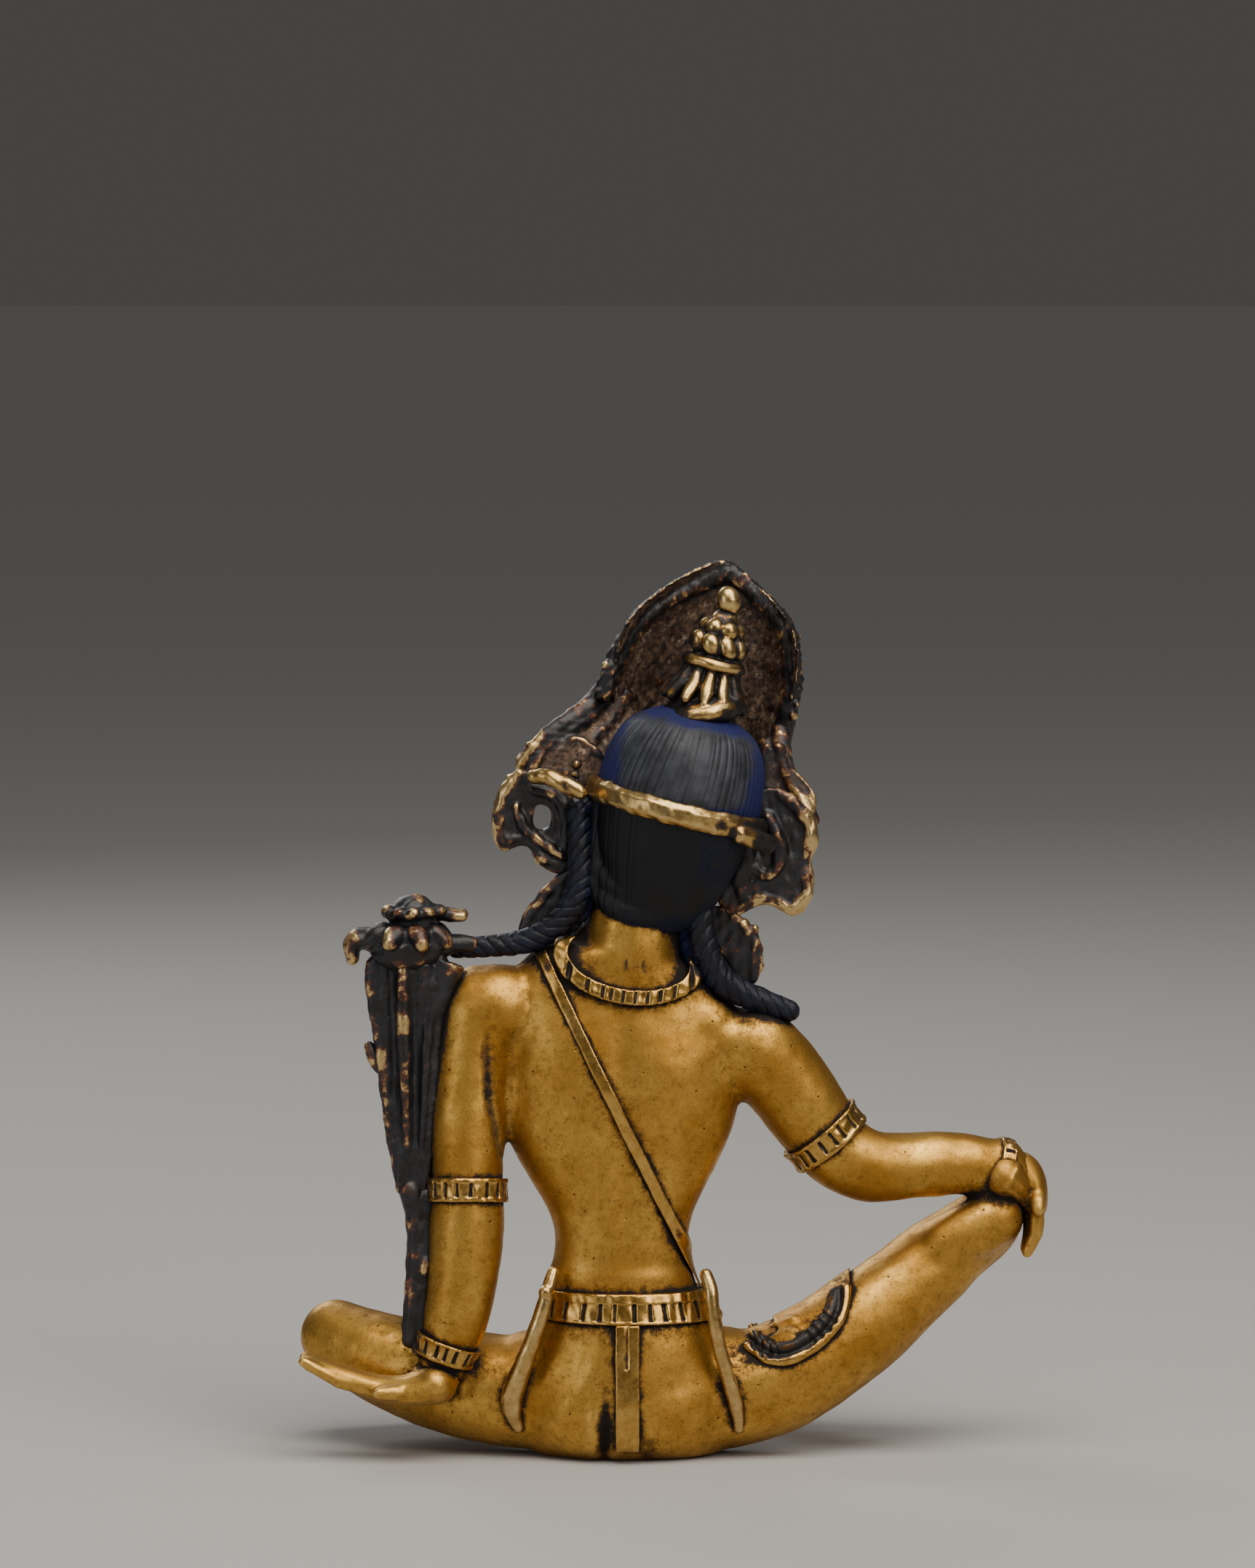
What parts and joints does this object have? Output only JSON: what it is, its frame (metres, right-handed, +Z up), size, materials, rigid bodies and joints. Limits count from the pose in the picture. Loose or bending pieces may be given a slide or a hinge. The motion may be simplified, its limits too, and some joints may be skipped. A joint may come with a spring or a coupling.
{
  "type": "seated deity statue",
  "caption": "Small cast figure of a crowned deity seated in royal ease, one knee raised, a lotus at its left shoulder, resting on its flat underside.",
  "frame": {"origin": "centre of the flat underside of the seat, on the surface the figure rests on", "axes": "+Z up, the figure faces -Y, the figure's left hand and the lotus are on +X"},
  "size_m": [0.1012, 0.0492, 0.12],
  "materials": {
    "gilt_body": "satin gilding with burnish marks",
    "worn_brass": "worn, darker in the cuts",
    "black_patina_brass": "black patina, brass worn through on the ridges",
    "painted_hair": "matt blue-black pigment over metal",
    "rough_cast_brass": "rough as cast, brown"
  },
  "bodies": {
    "root": {"hips": "gilt_body", "torso": "gilt_body", "head": "gilt_body", "left_upper_arm": "gilt_body", "left_forearm": "gilt_body", "left_hand": "gilt_body", "right_upper_arm": "gilt_body", "right_forearm": "gilt_body", "right_hand": "gilt_body", "left_thigh": "gilt_body", "left_shin": "gilt_body", "left_foot": "gilt_body", "right_thigh": "gilt_body", "right_shin": "gilt_body", "right_foot": "gilt_body", "hair_cap": "painted_hair", "back_hair": "painted_hair", "hair_fillet": "worn_brass", "chignon": "worn_brass", "crown_finial": "worn_brass", "crown_plate": "rough_cast_brass", "crown_rim": "worn_brass", "crown_gem": "worn_brass", "crown_wing_left": "black_patina_brass", "crown_wing_right": "black_patina_brass", "tress_left": "painted_hair", "tress_right": "painted_hair", "bow_left": "black_patina_brass", "bow_right": "black_patina_brass", "ribbon_left": "black_patina_brass", "ribbon_right": "black_patina_brass", "earring_left": "worn_brass", "earring_right": "worn_brass", "necklace": "worn_brass", "necklace_pendant": "worn_brass", "sacred_thread": "worn_brass", "left_armlet": "worn_brass", "left_bracelet": "worn_brass", "right_armlet": "worn_brass", "right_bracelet": "worn_brass", "left_anklet": "worn_brass", "right_anklet": "worn_brass", "belt": "worn_brass", "sash_tail_left": "worn_brass", "sash_tail_right": "worn_brass", "back_pleat": "worn_brass", "dhoti_right": "gilt_body", "hem_band_right": "worn_brass", "lotus_leaf": "black_patina_brass", "lotus_stalk": "black_patina_brass", "lotus_bud": "black_patina_brass", "lotus_flower": "black_patina_brass", "lotus_pod": "worn_brass"}
  },
  "joints": []
}
